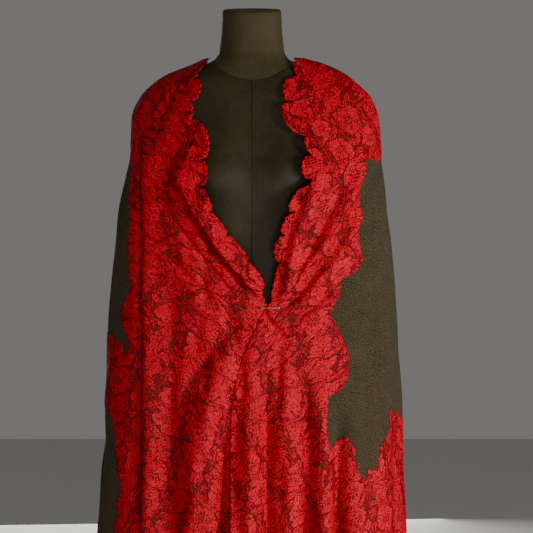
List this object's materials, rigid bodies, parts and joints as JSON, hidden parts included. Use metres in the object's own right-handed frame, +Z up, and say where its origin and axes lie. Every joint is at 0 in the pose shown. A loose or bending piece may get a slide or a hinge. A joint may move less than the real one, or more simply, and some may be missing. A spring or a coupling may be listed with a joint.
{
  "type": "lace shawl on a dress form",
  "caption": "Wool shawl with a wide corded-lace border, draped over the shoulders of a limbless dress form and pinned below the waist",
  "frame": {"origin": "centre of the stand's underside, on the axis of the pole and the form", "axes": "+Z up along the pole, the form faces -Y, +X to the viewer's right when facing the front"},
  "size_m": [0.6041, 0.3652, 1.515],
  "materials": {
    "wool": "soft mottled olive wool twill, matt with a little nap",
    "lace": "bright red corded lace, matt thread with a slight sheen",
    "form_cloth": "dark ribbed cloth stretched over the form",
    "neck_cloth": "olive grey cloth on the neck cap",
    "stand": "plain dark satin paint",
    "pin_metal": "bright nickel"
  },
  "bodies": {
    "root": {"wool_left_front": "wool", "wool_left_side": "wool", "wool_back": "wool", "wool_right_side": "wool", "wool_right_front": "wool", "lace_left_front": "lace", "lace_left_shoulder": "lace", "lace_left_hem": "lace", "lace_back_neck": "lace", "lace_back_hem": "lace", "lace_right_shoulder": "lace", "lace_right_hem": "lace", "lace_right_front": "lace", "pin": "pin_metal", "form_torso": "form_cloth", "form_neck": "neck_cloth", "form_pole": "stand", "form_base": "stand"}
  },
  "joints": []
}
